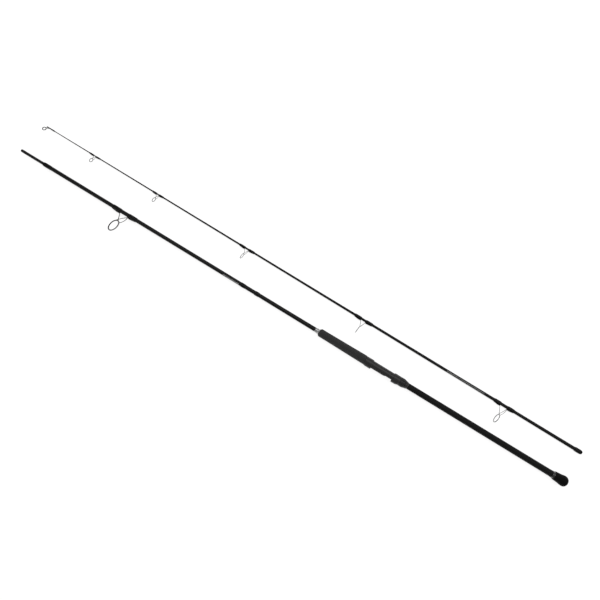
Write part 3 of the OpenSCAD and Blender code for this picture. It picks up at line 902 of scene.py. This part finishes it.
def hood_shell(name, section, front, outline):
    """A hood before it is cut: a round shell drawn tight over the hump above the pocket."""
    rings = [ring_at(front + d, lambda a: taut(a, shell, height, hump), count=96)
             for d, shell, height, hump in outline]
    return mesh_object(name, Shape().tube(rings), section)


def roof_arc(radius, reach, lift, steps):
    """Points across a pocket's roof, which is round about an axis above the rod's own."""
    turns = [reach - 2 * reach * i / steps for i in range(steps + 1)]
    return [(radius * sin(a), lift + radius * cos(a)) for a in turns]


def pocket_cutter(section, s0, s1, lift, floor_level):
    """Space for the reel foot: flat floor, straight sides and a round roof."""
    loop = [(-POCKET_HALF, floor_level), (POCKET_HALF, floor_level)]
    loop += roof_arc(ROOF, asin(POCKET_HALF / ROOF), lift, steps=16)
    return mesh_object("cutter", Shape().tube([[(s, y, z) for y, z in loop] for s in (s0, s1)]), section)


def add_liner(node, section, s0, s1, lift, body):
    """Pressed steel lining under a hood's roof."""
    thickness, side_gap, end = 0.45, 0.1, 0.2
    reach = asin((POCKET_HALF - side_gap) / ROOF)
    outer, inner = (roof_arc(ROOF - inset, reach, lift, steps=20) for inset in (GAP, thickness))
    loop = outer + inner[::-1]
    shape = Shape().tube([[(s, y, z) for y, z in loop] for s in (s0, s0 + end, s1 - end, s1)])
    piece(node, shape, section, body, "hood_steel", crease=40)


def thread_radius(s, angle, start, end):
    """Screw thread with flat-topped ridges that run out at both ends."""
    run_in, run_out = 2.5, 1.2
    phase = ((s - start) / THREAD_PITCH - angle / (2 * pi)) % 1
    ridge = min(1.0, max(0.0, 1.5 - abs(phase - 0.5) * 4.2))
    fade = min(1.0, (s - start) / run_in, (end - s) / run_out)
    return THREAD_ROOT + THREAD_DEPTH * ridge * max(0.0, fade)


def add_seat_body(section, body):
    """Barrel with its flat and thread, the two rails beside the flat, and the fixed hood."""
    flat = flattened(BARREL, SADDLE)
    rings = [ring_at(s, BARREL, count=120) for s in (SEAT + 0.2, FIXED_POCKET - 0.1)]
    rings += [ring_at(s, flat, count=120) for s in (FIXED_POCKET, MOUTH, MOUTH + 30, HOOD - 1, HOOD)]
    start, per_turn = HOOD + 1, 12
    steps = ceil((SEAT_END - start) / THREAD_PITCH * per_turn)
    for i in range(steps + 1):
        s = start + (SEAT_END - start) * i / steps
        threaded = lambda a: flattened(thread_radius(s, a, start, SEAT_END), SADDLE)(a)
        rings.append(ring_at(s, threaded, count=120))
    shape = Shape().tube(rings)
    rail = pill(2.3, 0.9, 5)
    for side in (-1, 1):
        shape.tube([[(MOUTH + along, side * RAIL_SIDE + y, RAIL_LEVEL + z - drop) for z, y in rail]
                    for along, drop in ((-2, 0), (44, 0), (47, 0.3), (48.6, 1.2), (49, 1.9))])
    barrel = mesh_object("reel_seat_body_model", shape, section)
    hood = hood_shell("fixed_hood", section, SEAT, FIXED_HOOD)
    carve(hood, [pocket_cutter(section, FIXED_POCKET, MOUTH + 2, FIXED_LIFT, SADDLE - 0.15)])
    join(barrel, hood)
    finish_piece(barrel, body, "seat_plastic", ["reel_seat_body"], crease=30)


def add_sliding_hood(section, body):
    """Hood with a pocket in front, and a tunnel that slides on the barrel."""
    hood = hood_shell("sliding_hood_model", section, HOOD, SLIDING_HOOD)
    bore, back = BARREL + SLIDE, HOOD + SLIDING_POCKET
    land = flattened(bore, SADDLE + SLIDE)
    outline = [(HOOD - 2, bore), (back + 0.2, bore), (back + 0.3, land), (HOOD_END + 2, land)]
    tunnel = Shape().tube([ring_at(s, radius, count=96) for s, radius in outline])
    carve(hood, [mesh_object("tunnel", tunnel, section),
                 pocket_cutter(section, HOOD - 2, back, SLIDING_LIFT, SADDLE - 2)])
    finish_piece(hood, body, "seat_plastic", ["sliding_hood"], crease=30)


def add_locking_nut(section, body):
    """Nut with rounded finger flutes that run out before both rims."""
    def outer(s, base):
        depth = FLUTE_DEPTH * max(0.0, min(1.0, (s - NUT - 2.2) / 1.2, (NUT_END - 0.4 - s) / 2.6))

        def radius(angle):
            across = (angle / (2 * pi) * FLUTES + 0.5) % 1 - 0.5
            return base - depth * max(0.0, 1 - (across / FLUTE_HALF) ** 2) ** 0.5
        return radius

    profile = [(0, 13.0), (0.25, 13.35)] + [(d, 13.6) for d in (0.8, 1.6, 2.2, 2.5, 2.8, 3.1, 3.4, 7, 12)]
    profile += [(12.6, 13.5), (13.7, 13.2), (14.5, 13.0), (15.4, 12.75), (16.2, 12.5), (16.55, 12.35),
                (16.7, 12.15)]
    outline = [(NUT + d, outer(NUT + d, r)) for d, r in profile]
    bore, bevel = BARREL + SLIDE, 0.3
    outline += [(NUT_END, bore + bevel), (NUT_END - bevel, bore), (NUT + bevel, bore), (NUT, bore + bevel)]
    shape = Shape()
    shape.rows([ring_at(s, radius, count=240) for s, radius in outline], close=True)
    piece("locking_nut", shape, section, body, "nut_metal", crease=32)


def add_bushes(section, body):
    shape = Shape()
    for s in BUSHES:
        end = s + BUSH_LENGTH
        outer = [(s, 8.2), (s + 0.3, 8.48), (end - 0.3, 8.48), (end, 8.2)]
        lathe(outer + bore_line(section, s, end), 48, shape)
    piece("seat_bushes", shape, section, body, "bush")


# ---------------------------------------------------------------- grips, trims and cap

def turned_piece(node, section, outer, slot, body, count=72):
    """Turned sleeve on the blank, from its outer outline."""
    s0, s1 = outer[0][0], outer[-1][0]
    piece(node, lathe(outer + bore_line(section, s0, s1), count), section, body, slot)


def add_winding_check(section, body):
    s, r = CHECK, section.radius(CHECK)
    turned_piece("winding_check", section,
                 [(s, r + 0.35), (s + 0.3, r + 0.62), (s + 1.2, r + 0.8), (s + 3.2, 7.68), (s + 3.4, 7.45),
                  (s + 4.1, 7.45), (s + 4.3, 7.8), (s + 10.8, 8.4)]
                 + arc(GRIP - 1.4, 8.6, 1.1, 150, 0), "satin_metal", body)


def add_foregrip(section, body):
    swell, length = 1.7, SEAT - GRIP
    waist = [(GRIP + d, 12.2 + swell * (d / length) ** 1.15) for d in range(20, 141, 10)]
    turned_piece("foregrip", section,
                 [(GRIP, 7.0)] + arc(GRIP + 5, 7.2, 5, 178, 95, steps=12) + [(GRIP + 9, 12.27)] + waist
                 + arc(SEAT - 1.8, 12.4, 1.5, 90, 0), "foregrip_foam", body, count=96)


def add_seat_rings(section, body):
    """Tapered ring behind the thread, and the thin dark ring next to it."""
    s = SEAT_END
    turned_piece("seat_end_ring", section,
                 [(s, 10.9), (s + 0.15, 11.25)] + arc(s + 1, 11.2, 0.8, 150, 60, steps=6)
                 + [(s + 4.5, 11.2), (s + 4.7, 10.95), (s + 5.2, 10.95), (s + 5.4, 11.1), (s + 7.4, 10.62),
                    (s + 7.7, 10.35)], "seat_plastic", body)
    turned_piece("seat_trim_ring", section, arc(REAR_GRIP - 1.5, 8.7, 1.5, 180, 0, steps=12),
                 "collar_metal", body)


def add_rear_grip(section, body):
    edge, steps = 0.8, 60
    start, length = REAR_GRIP + edge, COLLAR - REAR_GRIP - 2 * edge
    sleeve = [(start + length * i / steps, 9.2 + 0.7 * i / steps) for i in range(steps + 1)]
    turned_piece("rear_grip", section,
                 arc(start + GAP, 8.4, edge, 180, 95, steps=5) + sleeve
                 + arc(COLLAR - edge - GAP, 9.1, edge, 85, 0, steps=5), "grip_sleeve", body)


def add_butt_end(section, body):
    """Collar, and the cap that flares towards its domed end."""
    s = COLLAR
    turned_piece("butt_collar", section,
                 [(s, 9.9), (s + 0.15, 10.35), (s + 0.7, 10.7), (s + 2.8, 10.7), (s + 3.05, 10.55),
                  (s + 3.3, 10.1), (s + 4.5, 10.1), (s + 4.7, 10.6), (s + 5.0, 10.9), (s + 7.2, 11.15),
                  (s + 7.8, 11.0), (s + 8, 10.7)], "collar_metal", body, count=96)
    flare = [(0.5, 11.8), (2, 12.4), (5, 13.05), (12, 13.6), (18, 14.1), (23, 14.75), (27.3, 15.7),
             (31, 16.12), (34, 16.2)]
    curve = spline([(CAP + d, r, 0) for d, r in flare], steps=5)
    outline = [(CAP, 0), (CAP, 8.8), (CAP, 11.1), (CAP + 0.1, 11.45)] + [(p.x, p.y) for p in curve[:-1]]
    outline += arc(BUTT_END - 10, 6.2, 10, 90, 6, steps=12)
    outline += [(BUTT_END, 5.6), (BUTT_END - 0.5, 4.8), (BUTT_END - 0.6, 4.2), (BUTT_END - 0.6, 0)]
    piece("butt_cap", lathe(outline, count=96), section, body, "cap_rubber", crease=40)


# ---------------------------------------------------------------- assembly

def add_spigot(section, body):
    """Ground spigot in the blank's mouth, and the plug in its end."""
    front, rear, radius = PLUG_END + 0.01, BLANK_MOUTH + 4, SPIGOT_RADIUS
    shank = [(front, 0), (front, radius - 0.25), (PLUG_END + 0.3, radius)]
    shank += [(PLUG_END + 10 * i, radius) for i in range(1, 8)] + [(rear, radius), (rear, 0)]
    piece("spigot", lathe(shank, count=56), section, body, "spigot")
    dome = [(0, 0), (0, 2.6)] + arc(1.0, radius - 1.2, 1.0, 180, 90, steps=6)
    dome += [(PLUG_END, radius - 0.2), (PLUG_END + 2, 2), (PLUG_END + 2, 0)]
    piece("spigot_plug", lathe(dome, count=56), section, body, "black_plastic")


def add_butt_section():
    section = Section("butt_blank", "spigot_plug", 0, "butt_guide_ring", BUTT_PROFILE)
    body = "butt_section"
    mouth, rear = BLANK_MOUTH, BLANK_END
    outline = [(mouth, 0), (mouth, 5.5), (mouth + 0.15, 5.78), (mouth + 0.5, 5.9)]
    outline += blank_outline(section, mouth + 1, rear) + [(rear, 0)]
    add_blank("butt_blank", section, outline, body, "blank")
    add_spigot(section, body)
    for name, (s0, s1, wrap) in WHIPPINGS.items():
        add_band(name + "_whipping", section, s0, s1, wrap, body)
    add_guide("butt_guide", section, BUTT_GUIDE, body, "dark_steel", "dark_ceramic")
    add_seat_body(section, body)
    add_liner("fixed_hood_liner", section, FIXED_POCKET + 0.1, MOUTH - 0.5, FIXED_LIFT, body)
    add_sliding_hood(section, "sliding_hood")
    add_liner("sliding_hood_liner", section, HOOD + 0.5, HOOD + SLIDING_POCKET - 0.1, SLIDING_LIFT,
              "sliding_hood")
    add_locking_nut(section, "locking_nut")
    add_winding_check(section, body)
    add_foregrip(section, body)
    add_seat_rings(section, body)
    add_rear_grip(section, body)
    add_butt_end(section, body)
    add_bushes(section, body)


def add_tip_section():
    section = Section("tip_blank", "tip_blank", TIP_END, "guide_5_ring", TIP_PROFILE)
    body = "tip_section"
    end, bore = (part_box("tip_blank")[1][0] - section.origin.x) / MM, SOCKET_RADIUS
    outline = [(TIP_END, 0), (TIP_END, 1.0), (TIP_END + 0.3, 1.2)]
    outline += blank_outline(section, TIP_END + 1, end - 0.6)
    outline += [(end - 0.2, 5.4), (end, 5.15), (end, bore + 0.25), (end - 0.25, bore)]
    outline += [(end - SOCKET_DEPTH * i / 4, bore) for i in range(1, 5)] + [(end - SOCKET_DEPTH, 0)]
    add_blank("tip_blank", section, outline, body, "tip_blank")
    front, rear, wrap = FERRULE_WHIPPING
    add_band("ferrule_whipping", section, end - front, end - rear, wrap, body)
    add_band("tip_top_whipping", section, *TIP_WHIPPING, body)
    add_tip_top(section, body)
    for number, sizes in enumerate(TIP_GUIDES, 1):
        add_guide(f"guide_{number}", section, sizes, body, "guide_steel", "ring_ceramic")


def add_floor():
    reach = 14
    corners = [(x * reach, y * reach, 0) for x, y in ((-1, -1), (1, -1), (1, 1), (-1, 1))]
    mesh = bpy.data.meshes.new("floor")
    mesh.from_pydata(corners, [], [(0, 1, 2, 3)])
    mesh.materials.append(floor_look())
    ground = bpy.data.objects.new("floor", mesh)
    scene.collection.objects.link(ground)


add_camera()
add_light()
add_floor()
add_butt_section()
add_tip_section()
